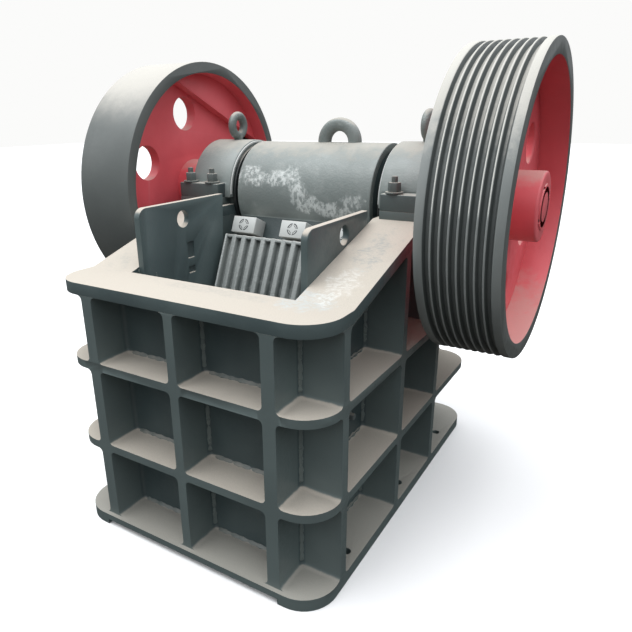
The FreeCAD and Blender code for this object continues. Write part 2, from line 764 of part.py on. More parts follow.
doc.recompute()
for item in doc.Objects:
    if {"Invalid", "Error"} & set(item.State):
        raise RuntimeError(f"{item.Label} failed to build: {item.State}")
os.makedirs("parts", exist_ok=True)
for node in NODES:
    item = doc.getObject(node)
    shape = item.Shape
    if shape.isNull() or not shape.isValid() or not shape.Solids:
        raise RuntimeError(f"{node} has no valid solid")
    shape.exportStep(f"parts/{node}.step")
    print(f"{node:22s} {len(shape.Solids):3d} solids {shape.Volume / 1e6:10.2f} litres")
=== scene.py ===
"""Jaw crusher: the finished look of a welded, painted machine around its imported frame.

Every length in this file is in millimetres unless a name or a property says otherwise.
"""

import json
import math

import bmesh
import bpy
from mathutils import Matrix, Vector


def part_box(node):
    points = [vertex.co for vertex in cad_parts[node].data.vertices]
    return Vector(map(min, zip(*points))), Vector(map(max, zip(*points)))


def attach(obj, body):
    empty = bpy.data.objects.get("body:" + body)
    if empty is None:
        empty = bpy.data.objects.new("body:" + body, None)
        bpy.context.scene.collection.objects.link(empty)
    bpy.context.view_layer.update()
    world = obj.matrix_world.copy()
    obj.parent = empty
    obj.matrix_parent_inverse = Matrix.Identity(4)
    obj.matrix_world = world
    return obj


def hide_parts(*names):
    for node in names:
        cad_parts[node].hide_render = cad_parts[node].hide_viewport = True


bl_info = {
    "name": "Jaw Crusher",
    "version": (1, 0, 0),
    "blender": (4, 5, 0),
    "location": "View3D > Sidebar > Crusher",
    "description": "Builds a jaw crusher with its paint, welds, bolts, dust and wear",
    "category": "Add Mesh",
}

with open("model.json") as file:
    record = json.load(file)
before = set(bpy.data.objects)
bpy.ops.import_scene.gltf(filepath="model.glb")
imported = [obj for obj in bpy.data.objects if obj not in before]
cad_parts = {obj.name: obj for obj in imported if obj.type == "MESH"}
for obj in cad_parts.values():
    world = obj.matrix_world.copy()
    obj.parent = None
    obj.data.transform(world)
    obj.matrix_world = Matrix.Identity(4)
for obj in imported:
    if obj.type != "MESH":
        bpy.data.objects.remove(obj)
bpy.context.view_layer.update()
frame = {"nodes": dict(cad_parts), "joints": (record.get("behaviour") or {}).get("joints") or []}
NODES = frame["nodes"]
MM = 0.001


def reach(node):
    """Lowest and highest corner of a CAD node."""
    low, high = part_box(node)
    return low / MM, high / MM


# Places that many pieces share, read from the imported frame.
WALL_LOW, WALL_HIGH = reach("side_wall_right")
INSIDE, OUTSIDE = WALL_LOW.x, WALL_HIGH.x
FRONT_WALL = reach("front_wall")
REAR_WALL = reach("rear_wall")
BASE_FRONT, BASE_REAR = reach("base_flange_front")[0].y, reach("base_flange_rear")[1].y
BASE_TOP = reach("base_flange_front")[1].z
SHELF_FRONT, SHELF_REAR = reach("shelves_front")[0].y, reach("shelves_rear")[1].y
EDGE = reach("shelves_front")[1].x
RIM_LOW, RIM_HIGH = reach("top_flange_front")
BAND = reach("top_flange_right")
CAP = reach("bearing_cap_right")
BASE_CASTING = reach("bearing_base_right")
BARREL = reach("swing_jaw")
SHAFT_Y = frame["joints"][0]["pos_m"][1] / MM
SHAFT_Z = frame["joints"][0]["pos_m"][2] / MM
JAW_LEAN = 24.3  # degrees that the swing plate leans from upright
PLATE_EDGE_Y, PLATE_EDGE_Z = -79.0, 1040.0  # its top edge, on the face


# ---------------------------------------------------------------- colours and materials

def linear(code):
    """An sRGB hex colour as linear RGBA; a colour picked in the panel is linear already."""
    if not isinstance(code, str):
        return list(code)
    parts = [int(code[i:i + 2], 16) / 255 for i in (1, 3, 5)]
    return [*((c / 12.92 if c <= 0.04045 else ((c + 0.055) / 1.055) ** 2.4) for c in parts), 1.0]


def add(tree, kind, inputs=None, **settings):
    """Adds a node with its settings; an input is a value or the socket that feeds it."""
    node = tree.nodes.new(kind)
    for key, value in settings.items():
        setattr(node, key, value)
    for key, value in (inputs or {}).items():
        if isinstance(value, bpy.types.NodeSocket):
            tree.links.new(value, node.inputs[key])
        else:
            node.inputs[key].default_value = value
    return node


def coat(name, paint, shade, dust="#b3aca1", dust_amount=1.0, dust_from=0.55, worn="#9aa09e", worn_amount=0.0,
         edge_rub_and_highlight="#6a7573", edge_rub_and_highlight_amount=0.5, gloss=0.34, lumps=0.25, cast=0.0, crease_shade=0.35, metallic=0.0, blotch=1.0,
         marks=()):
    """Brush or spray enamel over steel, with wear, settled rock dust, painted shade in creases and painted
    highlights on edges.
    """
    material = bpy.data.materials.new(name)
    material.use_nodes = True
    tree = material.node_tree
    tree.nodes.clear()
    where = add(tree, "ShaderNodeTexCoord")
    spot = where.outputs["Object"]
    up = add(tree, "ShaderNodeSeparateXYZ", {"Vector": where.outputs["Normal"]}).outputs["Z"]
    # Drifts of tone 300 mm across, blotches of 45 mm and grit of 3 mm, drawn coarser than real grit to show.
    drift = add(tree, "ShaderNodeTexNoise", {"Vector": spot, "Scale": 3.3, "Detail": 4.0}).outputs[0]
    blot = add(tree, "ShaderNodeTexNoise", {"Vector": spot, "Scale": 22.0, "Detail": 8.0,
                                            "Roughness": 0.62}).outputs[0]
    grit = add(tree, "ShaderNodeTexNoise", {"Vector": spot, "Scale": 330.0, "Detail": 3.0}).outputs[0]
    tone = add(tree, "ShaderNodeMapRange", {"Value": drift, "From Min": 0.35, "From Max": 0.65}).outputs[0]
    colour = add(tree, "ShaderNodeMix", {0: tone, 6: linear(shade), 7: linear(paint)}, data_type="RGBA").outputs[2]
    # Worn places: flat patches where the coat has rubbed thin.
    if worn_amount:
        patch = add(tree, "ShaderNodeTexNoise", {"Vector": spot, "Scale": 9.0, "Detail": 9.0,
                                                 "Roughness": 0.7}).outputs[0]
        patch = add(tree, "ShaderNodeMapRange", {"Value": patch, "From Min": 0.55, "From Max": 0.66,
                                                 "To Max": worn_amount}).outputs[0]
        colour = add(tree, "ShaderNodeMix", {0: patch, 6: colour, 7: linear(worn)}, data_type="RGBA").outputs[2]
    # Marks: scraped places, and a wet place shown with a painted highlight, each a (place, reach, colour, share)
    # with a ragged border.
    scrapes_and_sheen = []
    if marks:
        # Scrapes are short ragged strokes about 15 mm long, with bare dots between them.
        stretched = add(tree, "ShaderNodeMapping", {"Vector": spot, "Scale": (38.0, 70.0, 24.0),
                                                    "Rotation": (0.3, 0.5, 0.2)}).outputs[0]
        stroke = add(tree, "ShaderNodeTexNoise", {"Vector": stretched, "Scale": 1.6, "Detail": 10.0,
                                                  "Roughness": 0.72}).outputs[0]
        stroke = add(tree, "ShaderNodeMapRange", {"Value": stroke, "From Min": 0.45, "From Max": 0.56,
                                                  "To Min": 0.12, "To Max": 1.0}).outputs[0]
    for place, size, tint, share in marks:
        away = add(tree, "ShaderNodeVectorMath", {0: spot, 1: [c * MM for c in place]},
                   operation="SUBTRACT").outputs[0]
        away = add(tree, "ShaderNodeVectorMath", {0: away, 1: [1 / (c * MM) for c in size]},
                   operation="MULTIPLY").outputs[0]
        away = add(tree, "ShaderNodeVectorMath", {0: away}, operation="LENGTH").outputs["Value"]
        away = add(tree, "ShaderNodeMath", {0: blot, 1: 2.2, 2: away}, operation="MULTIPLY_ADD").outputs[0]
        inside = add(tree, "ShaderNodeMapRange", {"Value": away, "From Min": 2.1, "From Max": 1.75,
                                                  "To Max": share}).outputs[0]
        inside = add(tree, "ShaderNodeMath", {0: inside, 1: stroke}, operation="MULTIPLY").outputs[0]
        scrapes_and_sheen.append((inside, tint))
    # Sharp edges are lighter: partly paint rubbed thin, partly a painted highlight where light catches them.
    sharp = add(tree, "ShaderNodeNewGeometry").outputs["Pointiness"]
    edge = add(tree, "ShaderNodeMapRange", {"Value": sharp, "From Min": 0.515, "From Max": 0.58,
                                            "To Max": edge_rub_and_highlight_amount}).outputs[0]
    colour = add(tree, "ShaderNodeMix", {0: edge, 6: colour, 7: linear(edge_rub_and_highlight)}, data_type="RGBA").outputs[2]
    # Painted shade: creases and inside corners are darkened towards near black.
    crease = add(tree, "ShaderNodeMapRange", {"Value": sharp, "From Min": 0.49, "From Max": 0.44,
                                              "To Max": crease_shade}).outputs[0]
    colour = add(tree, "ShaderNodeMix", {0: crease, 6: colour, 7: linear("#15191a")}, data_type="RGBA").outputs[2]
    # Dust settles on faces that look up and thins out in blotches.
    tilt = add(tree, "ShaderNodeMath", {0: blot, 1: 0.5 * blotch, 2: up}, operation="MULTIPLY_ADD").outputs[0]
    settled = add(tree, "ShaderNodeMapRange", {"Value": tilt, "From Min": dust_from + 0.25 * blotch,
                                               "From Max": dust_from + 0.25 * blotch + 0.32, "To Max": dust_amount},
                  interpolation_type="SMOOTHSTEP").outputs[0]
    speck = add(tree, "ShaderNodeMapRange", {"Value": grit, "From Min": 0.3, "From Max": 0.6,
                                             "To Min": 0.82, "To Max": 1.0}).outputs[0]
    settled = add(tree, "ShaderNodeMath", {0: settled, 1: speck}, operation="MULTIPLY").outputs[0]
    # Dust thins from the shaft's height down to the base, so low ledges are darker.
    height = add(tree, "ShaderNodeSeparateXYZ", {"Vector": spot}).outputs["Z"]
    dust_by_height = add(tree, "ShaderNodeMapRange", {"Value": height, "From Min": 0.0, "From Max": 0.33,
                                              "To Min": 0.5, "To Max": 1.0}).outputs[0]
    settled = add(tree, "ShaderNodeMath", {0: settled, 1: dust_by_height}, operation="MULTIPLY").outputs[0]
    colour = add(tree, "ShaderNodeMix", {0: settled, 6: colour, 7: linear(dust)}, data_type="RGBA").outputs[2]
    for inside, tint in scrapes_and_sheen:
        colour = add(tree, "ShaderNodeMix", {0: inside, 6: colour, 7: linear(tint)}, data_type="RGBA").outputs[2]
        keep = add(tree, "ShaderNodeMapRange", {"Value": inside, "To Min": 1.0, "To Max": 0.25}).outputs[0]
        settled = add(tree, "ShaderNodeMath", {0: settled, 1: keep}, operation="MULTIPLY").outputs[0]
    smear = add(tree, "ShaderNodeMapRange", {"Value": blot, "From Min": 0.35, "From Max": 0.7,
                                             "To Min": gloss, "To Max": gloss + 0.18}).outputs[0]
    matt = add(tree, "ShaderNodeMapRange", {"Value": settled, "To Min": smear, "To Max": 0.93}).outputs[0]
    # Orange peel and brush sags of 12 mm, and the pits of a sand-cast skin where there is one.
    peel = add(tree, "ShaderNodeTexNoise", {"Vector": spot, "Scale": 80.0, "Detail": 3.0}).outputs[0]
    bump = add(tree, "ShaderNodeBump", {"Height": peel, "Strength": lumps, "Distance": 0.0012}).outputs["Normal"]
    if cast:
        pits = add(tree, "ShaderNodeTexVoronoi", {"Vector": spot, "Scale": 150.0},
                   feature="SMOOTH_F1").outputs["Distance"]
        bump = add(tree, "ShaderNodeBump", {"Height": pits, "Strength": cast, "Distance": 0.0015,
                                            "Normal": bump}).outputs["Normal"]
    bump = add(tree, "ShaderNodeBump", {"Height": grit, "Strength": 0.12, "Distance": 0.0006,
                                        "Normal": bump}).outputs["Normal"]
    shader = add(tree, "ShaderNodeBsdfPrincipled", {"Base Color": colour, "Roughness": matt, "Normal": bump,
                                                    "Metallic": metallic})
    add(tree, "ShaderNodeOutputMaterial", {"Surface": shader.outputs["BSDF"]})
    return material


# ---------------------------------------------------------------- mesh tools

def outline_mesh(points, axis, low, high, round_by=0.0, steps=4):
    """A bmesh prism: an outline pushed along an axis, with every edge rounded if asked."""
    order = {"X": lambda a, b, c: (c, a, b), "Y": lambda a, b, c: (a, c, b), "Z": lambda a, b, c: (a, b, c)}[axis]
    bm = bmesh.new()
    rings = [[bm.verts.new(order(a, b, level)) for a, b in points] for level in (low, high)]
    bm.faces.new(rings[0])
    bm.faces.new(rings[1])
    for index in range(len(points)):
        after = (index + 1) % len(points)
        bm.faces.new((rings[0][index], rings[0][after], rings[1][after], rings[1][index]))
    bmesh.ops.recalc_face_normals(bm, faces=bm.faces)
    if round_by:
        bmesh.ops.bevel(bm, geom=bm.edges[:], offset=round_by, segments=steps, profile=0.5, affect="EDGES")
    return bm


def rectangle(a, b):
    return [(a[0], b[0]), (a[1], b[0]), (a[1], b[1]), (a[0], b[1])]


def box_mesh(x, y, z, round_by=0.0, steps=4):
    return outline_mesh(rectangle(x, y), "Z", z[0], z[1], round_by, steps)


def rounded_rectangle(x, y, radius, steps=10):
    points = []
    for turn, (cx, cy) in enumerate(((x[1] - radius, y[1] - radius), (x[0] + radius, y[1] - radius),
                                     (x[0] + radius, y[0] + radius), (x[1] - radius, y[0] + radius))):
        for step in range(steps + 1):
            angle = math.radians(90 * (turn + step / steps))
            points.append((cx + radius * math.cos(angle), cy + radius * math.sin(angle)))
    return points


def lathe(profile, steps=96, centre=(SHAFT_Y, SHAFT_Z)):
    """A bmesh ring: a closed outline of (distance along X, radius) turned about a line along X."""
    bm = bmesh.new()
    rings = []
    for step in range(steps):
        angle = 2 * math.pi * step / steps
        rings.append([bm.verts.new((x, centre[0] + r * math.cos(angle), centre[1] + r * math.sin(angle)))
                      for x, r in profile])
    for step in range(steps):
        here, after = rings[step], rings[(step + 1) % steps]
        for index in range(len(profile)):
            nxt = (index + 1) % len(profile)
            bm.faces.new((here[index], here[nxt], after[nxt], after[index]))
    bmesh.ops.recalc_face_normals(bm, faces=bm.faces)
    return bm


def disc_mesh(along, radius, centre, axis="X", steps=48):
    """A round bar along an axis."""
    points = [(centre[0] + radius * math.cos(2 * math.pi * i / steps),
               centre[1] + radius * math.sin(2 * math.pi * i / steps)) for i in range(steps)]
    return outline_mesh(points, axis, along[0], along[1])


def to_mesh(*sources):
    """One mesh datablock in metres from several bmeshes in millimetres."""
    whole = bmesh.new()
    for bm in sources:
        part = bpy.data.meshes.new("part")
        bm.to_mesh(part)
        bm.free()
        whole.from_mesh(part)
        bpy.data.meshes.remove(part)
    mesh = bpy.data.meshes.new("whole")
    bmesh.ops.scale(whole, vec=(MM, MM, MM), verts=whole.verts)
    whole.to_mesh(mesh)
    whole.free()
    return mesh


def evaluated(mesh, *modifiers):
    """The mesh after some modifiers, each a (kind, settings) pair."""
    item = bpy.data.objects.new("work", mesh)
    bpy.context.scene.collection.objects.link(item)
    for kind, settings in modifiers:
        modifier = item.modifiers.new(kind.lower(), kind)
        for key, value in settings.items():
            setattr(modifier, key, value)
    graph = bpy.context.evaluated_depsgraph_get()
    result = bpy.data.meshes.new_from_object(item.evaluated_get(graph))
    bpy.data.objects.remove(item)
    return result


def carve(mesh, tool, operation="DIFFERENCE", solver="EXACT"):
    """A boolean of two meshes in metres."""
    other = bpy.data.objects.new("tool", tool)
    bpy.context.scene.collection.objects.link(other)
    result = evaluated(mesh, ("BOOLEAN", {"object": other, "operation": operation, "solver": solver}))
    bpy.data.objects.remove(other)
    return result


def tidy(mesh, weld=0.02, flat=0.4):
    """Joins split corners and drops edges that lie inside flat faces."""
    bm = bmesh.new()
    bm.from_mesh(mesh)
    bmesh.ops.remove_doubles(bm, verts=bm.verts, dist=weld * MM)
    bmesh.ops.dissolve_degenerate(bm, dist=weld * MM, edges=bm.edges)
    bmesh.ops.dissolve_limit(bm, angle_limit=math.radians(flat), verts=bm.verts, edges=bm.edges,
                             delimit={"MATERIAL"})
    bm.to_mesh(mesh)
    bm.free()
    return mesh


def soften(mesh, width, steps=3, angle=35.0):
    """Rounds the sharp edges of a mesh, as grinding and paint do."""
    mesh = evaluated(tidy(mesh), ("BEVEL", {
        "width": width * MM, "segments": steps, "limit_method": "ANGLE", "angle_limit": math.radians(angle),
        "use_clamp_overlap": True, "harden_normals": False, "miter_outer": "MITER_ARC"}))
    return mesh


def cad_mesh(node):
    """A copy of a CAD node's mesh to finish by hand."""
    mesh = NODES[node].data.copy()
    mesh.materials.clear()
    return mesh


def show(name, mesh, body, material, replaces=(), smooth=32.0):
    """Makes a finished piece from a mesh and hangs it on its body."""
    item = bpy.data.objects.new(name, mesh)
    mesh.name = name
    bpy.context.scene.collection.objects.link(item)
    if material is not None:
        mesh.materials.clear()
        mesh.materials.append(material)
    for polygon in mesh.polygons:
        polygon.use_smooth = True
    mesh.set_sharp_from_angle(angle=math.radians(smooth))
    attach(item, body)
    if replaces:
        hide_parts(*replaces)
    return item


def show_cad(node, name, width, steps, body, finish):
    """A CAD node shown with its edges rounded and its finish on."""
    return show(name, soften(cad_mesh(node), width, steps), body, finish_of(finish), (node,))


def from_shaft(point):
    """Distance from the shaft's line of a point in metres."""
    return math.hypot(point.y / MM - SHAFT_Y, point.z / MM - SHAFT_Z)


def repaint(item, finish, where):
    """Gives a second finish to the faces that a test picks."""
    item.data.materials.append(finish_of(finish))
    index = len(item.data.materials) - 1
    for face in item.data.polygons:
        if where(face):
            face.material_index = index


MATERIALS = {}


def finish_of(name):
    """Each finish is made once, when a piece first needs it."""
    if name not in MATERIALS:
        MATERIALS[name] = FINISHES[name]()
    return MATERIALS[name]


def colours():
    """The paints picked in the panel."""
    return bpy.context.scene.crusher_colours


# Where stone has scraped the barrel: distance along the shaft, out, up, width and height of each patch.
SCRAPES = ((-245, -197, 82, 62, 42), (-188, -199, 76, 66, 34), (-124, -198, 79, 66, 44), (-60, -190, 96, 50, 46),
           (-24, -204, 60, 38, 52), (-5, -213, 11, 42, 55), (41, -212, -22, 70, 40), (104, -210, -34, 74, 36),
           (162, -210, -34, 70, 32), (236, -213, -9, 60, 40))

FINISHES = {
    # Brushed green-grey enamel on plate: deep in the bays, chalky with dust on the ledges.
    "frame": lambda: coat("Alkyd_enamel_on_plate", colours().frame_light, colours().frame_dark, gloss=0.32,
                          dust_from=0.45, edge_rub_and_highlight="#78827f", edge_rub_and_highlight_amount=0.3, lumps=0.45),
    # The top flange: the same enamel with a wet corner whose blue-grey is a painted highlight, scraped streaks and
    # bare grey patches.
    "flange": lambda: coat("Alkyd_enamel_on_flange", colours().frame_light, colours().frame_dark, gloss=0.3,
                           edge_rub_and_highlight="#78827f", edge_rub_and_highlight_amount=0.3, dust_from=0.5, lumps=0.45, marks=(
                               # Painted highlight: the pale blue-grey sheen of the wet front right corner.
                               ((395, -560, 950), (130, 95, 60), "#a9b0b0", 0.8),
                               ((440, -420, 990), (60, 150, 60), "#c9c9c4", 0.6),
                               ((455, -120, 1040), (80, 230, 70), "#8a8f8c", 0.8),
                               ((-440, -380, 960), (90, 180, 60), "#8f918c", 0.5),
                               ((60, -600, 960), (260, 40, 40), "#97958e", 0.45))),
    # The same enamel over a sand casting: a lumpy skin, scuffed pale by stone.
    "casting": lambda: coat("Alkyd_enamel_on_casting", colours().casting, "#6c7573", worn="#989e9b", worn_amount=0.3,
                            cast=0.35, dust_amount=0.55, dust_from=0.68, edge_rub_and_highlight="#8b9290", marks=(
                                *(((x, SHAFT_Y + y, SHAFT_Z + z), (width, 60, tall), "#c4cac8", 0.8)
                                  for x, y, z, width, tall in SCRAPES),
                                ((285, SHAFT_Y - 110, SHAFT_Z + 20), (30, 90, 110), "#b9bfbc", 0.7))),
    # The eyes are castings too, brushed with the same paint and dusted all over.
    "eye": lambda: coat("Enamel_on_forged_eyes", "#7b8381", "#636c6a", worn="#a4aaa7", worn_amount=0.6, cast=0.6,
                        dust_amount=0.6, dust_from=0.5, edge_rub_and_highlight="#8b9290"),
    # Housings low in the shade: the frame's enamel on a casting, with little dust on its sides. On the swing jaw's
    # stock it is painted shade.
    "housing_and_shade": lambda: coat("Dark_enamel_on_casting_and_painted_shade", "#3c4748", "#323c3d", cast=0.3, dust_amount=0.6, dust_from=0.7,
                            edge_rub_and_highlight="#6c7674"),
    # Machined clamp blocks with a thin wash of paint: paler than the casting behind them, their edges pale from wear
    # and painted highlight.
    "block": lambda: coat("Washed_enamel_on_machined_steel", "#7d8583", "#6c7472", worn="#a4a9a7", worn_amount=0.5,
                          dust_amount=0.6, dust_from=0.66, edge_rub_and_highlight="#c3c6c4", edge_rub_and_highlight_amount=0.9),
    # Glossy red enamel on cast iron: bright where it faces the sky, rosy dust low in the rim.
    "wheel_red": lambda: coat("Red_enamel_on_cast_iron", colours().red_light, colours().red_dark, dust="#c9a8a0",
                              dust_amount=0.7, dust_from=0.6, edge_rub_and_highlight="#dc8086", gloss=0.33, cast=0.12),
    # Satin enamel on a turned rim: a smooth dark band.
    "rim": lambda: coat("Satin_enamel_on_turned_iron", "#505554", "#444a49", dust="#c9c5bd", dust_amount=0.7,
                        dust_from=0.5, blotch=0.3, gloss=0.4, edge_rub_and_highlight="#8a908e"),
    # Belt grooves under thin paint: crests pale from wear and painted highlight, painted shade in the valleys.
    "grooves": lambda: coat("Thin_enamel_on_belt_grooves", "#7d8382", "#6d7372", dust="#c6c3bb",
                            dust_amount=0.75, dust_from=0.32, gloss=0.4, edge_rub_and_highlight="#a0a5a3", crease_shade=0.8),
    # Manganese steel jaw plate: rubbed bright on its ridges, partly a painted highlight, with painted shade between
    # them.
    "jaw": lambda: coat("Thin_paint_on_manganese_steel", "#646a68", "#454c4b", worn="#969b99", worn_amount=0.55,
                        cast=1.0, dust_amount=0.5, dust_from=0.7, gloss=0.42, edge_rub_and_highlight="#b5bab8", edge_rub_and_highlight_amount=0.8,
                        crease_shade=0.6),
    # Oiled turned steel: a grey metal shine.
    "shaft": lambda: coat("Oiled_turned_steel", "#7d8080", "#5e6262", metallic=0.9, dust_amount=0.2, gloss=0.3),
    # Zinc nuts and washers under overspray: small, dark, with pale corners from wear and painted highlight.
    "fastener": lambda: coat("Enamel_on_hex_fasteners", "#3d4445", "#303637", dust_amount=0.6, edge_rub_and_highlight="#7c8583"),
    # Multi-pass welds under enamel: a rippled bead with small glossy beads of light.
    "weld": lambda: coat("Enamel_on_weld_beads", "#57615f", "#454f50", dust_amount=0.5, gloss=0.22, lumps=0.6),
    # Dull black rubber and grease at the seals; on the clamp blocks it is painted shade in the marks.
    "seal_and_shade": lambda: coat("Greased_rubber_and_painted_shade", "#1f2324", "#191c1d", dust_amount=0.4, edge_rub_and_highlight="#3d4243"),
}


# ---------------------------------------------------------------- operators

class Piece(bpy.types.Operator):
    """Base of every operator here: build() makes the pieces, and an error stops the script."""
    bl_idname = "crusher.piece"
    bl_label = "Piece"
    bl_options = {"REGISTER", "UNDO"}

    def execute(self, context):
        self.build(context.scene.crusher_sizes)
        return {"FINISHED"}


def frame_levels():
    """The clear heights between base, shelves and rim."""
    lower = reach("shelves_front")
    shelf = 30.0
    first = lower[0].z
    second = lower[1].z - shelf
    return ((BASE_TOP, first), (first + shelf, second), (second + shelf, RIM_LOW.z))


def band_under(y):
    """Height of the side flange's underside above a point along the frame."""
    rise = UNDER - RIM_LOW.z
    if y < SEAT_FRONT:
        return RIM_LOW.z + rise * (y - BAND_FRONT) / (SEAT_FRONT - BAND_FRONT)
    if y > SEAT_REAR - FLANGE:
        return UNDER - rise * (y - SEAT_REAR + FLANGE) / (BAND_REAR - FLANGE - SEAT_REAR + FLANGE)
    return UNDER


FLANGE = RIM_HIGH.z - RIM_LOW.z
SEAT_TOP = BASE_CASTING[1].z - 30.0
SEAT_HALF = (BASE_CASTING[1].y - BASE_CASTING[0].y) / 2
SEAT_FRONT, SEAT_REAR = SHAFT_Y - SEAT_HALF, SHAFT_Y + SEAT_HALF
UNDER = SEAT_TOP - FLANGE  # the flange's underside at the seat
BAND_FRONT, BAND_REAR = BAND[0].y, BAND[1].y
SIDES = ("front", "rear", "left", "right")
RIB = 36.0
MID_RIB = -120.0
BEARING_RIB = 274.0
CORNER = 125.0
WELD = 11.5
BACK_OFF = 14.0  # a weld stops this far short of a corner
HOUSING_NOTCH = 190.3
ANCHOR_HOLE, ANCHOR_OUT, ANCHOR_STEP = 17.0, 498.0, 481.0
WASHER = 4.0
THREAD = 4.0


def side_bays(last):
    """Front and rear of the three bays along a side; the last one ends where asked."""
    return ((FRONT_WALL[1].y, MID_RIB - RIB), (MID_RIB, BEARING_RIB - RIB), (BEARING_RIB, last))


def housing_notch():
    """The round seat that the bearing housings drop into."""
    return to_mesh(disc_mesh((-EDGE - 20, EDGE + 20), HOUSING_NOTCH, (SHAFT_Y, SHAFT_Z), "X", 96))


def slab(y, low, high):
    """A plate as wide as the frame, with rounded corners."""
    return to_mesh(outline_mesh(rounded_rectangle((-EDGE, EDGE), y, CORNER), "Z", low, high))


def pocket(sizes, x, y, z):
    """A cutter for one bay between ribs and shelves, its edges rounded."""
    return box_mesh(x, y, z, sizes.bay_corner / MM, 4)


def hex_nut(at, axis, across, height, washer=True, stud=0.0, turn=0.0):
    """A washer, a hex nut and a stud end with threads, standing on a point along an axis."""
    middle = {"X": (at[1], at[2]), "Y": (at[0], at[2]), "Z": (at[0], at[1])}[axis]
    start = at["XYZ".index(axis)]
    way = 1 if height > 0 else -1
    parts = []

    def ring(radius, low, high, steps, bevel=0.0, shift=0.0):
        points = [(middle[0] + radius * math.cos(2 * math.pi * (i + shift) / steps),
                   middle[1] + radius * math.sin(2 * math.pi * (i + shift) / steps)) for i in range(steps)]
        ends = sorted((start + way * low, start + way * high))
        parts.append(outline_mesh(points, axis, *ends, bevel, 2))

    thick = abs(height)
    base = WASHER if washer else 0.0
    if washer:
        ring(across * 0.78, -1, base, 32)
    ring(across / math.sqrt(3), base - 0.5, base + thick, 6, across * 0.05, turn)
    if stud:
        for index in range(int(stud / THREAD)):
            foot = base + thick + index * THREAD
            ring(across * 0.28, foot - 0.5, foot + 2.6, 20)
        ring(across * 0.25, 0, base + thick + stud, 20)
    return parts


def skin(bm, rings):
    """Joins rings of corners into a closed tube."""
    sides = len(rings[0])
    for here, after in zip(rings, rings[1:]):
        for k in range(sides):
            bm.faces.new((here[k], here[(k + 1) % sides], after[(k + 1) % sides], after[k]))
    bm.faces.new(rings[0])
    bm.faces.new(rings[-1])
    bmesh.ops.recalc_face_normals(bm, faces=bm.faces)


def bead(start, end, size=7.0, step=13.0, seed=0.0):
    """A rippled weld bead laid in a corner between two points."""
    start, end = Vector(start), Vector(end)
    run = end - start
    count = max(2, int(run.length / step))
    along = run.normalized()
    side = along.orthogonal().normalized()
    over = along.cross(side)
    bm = bmesh.new()
    rings = []
    for index in range(count + 1):
        swell = size * (1.0 + 0.16 * math.sin(index * 2.1 + seed) + 0.1 * math.sin(index * 5.3 + 2 * seed))
        swell *= 0.45 if index in (0, count) else 1.0
        centre = start + run * (index / count)
        rings.append([bm.verts.new(centre + (side * math.cos(turn) + over * math.sin(turn)) * swell)
                      for turn in (math.pi * k / 3 for k in range(6))])
    skin(bm, rings)
    return bm


def islands(node):
    """Lowest and highest corner of each separate solid of a CAD node, in the same order each run."""
    bm = bmesh.new()
    bm.from_mesh(NODES[node].data)
    bmesh.ops.remove_doubles(bm, verts=bm.verts, dist=0.01 * MM)
    left, found = set(bm.verts), []
    while left:
        stack, group = [left.pop()], []
        while stack:
            vert = stack.pop()
            group.append(vert.co / MM)
            for edge in vert.link_edges:
                other = edge.other_vert(vert)
                if other in left:
                    left.remove(other)
                    stack.append(other)
        found.append(tuple(Vector(f(v[i] for v in group) for i in range(3)) for f in (min, max)))
    bm.free()
    return sorted(found, key=lambda ends: tuple(ends[0]))


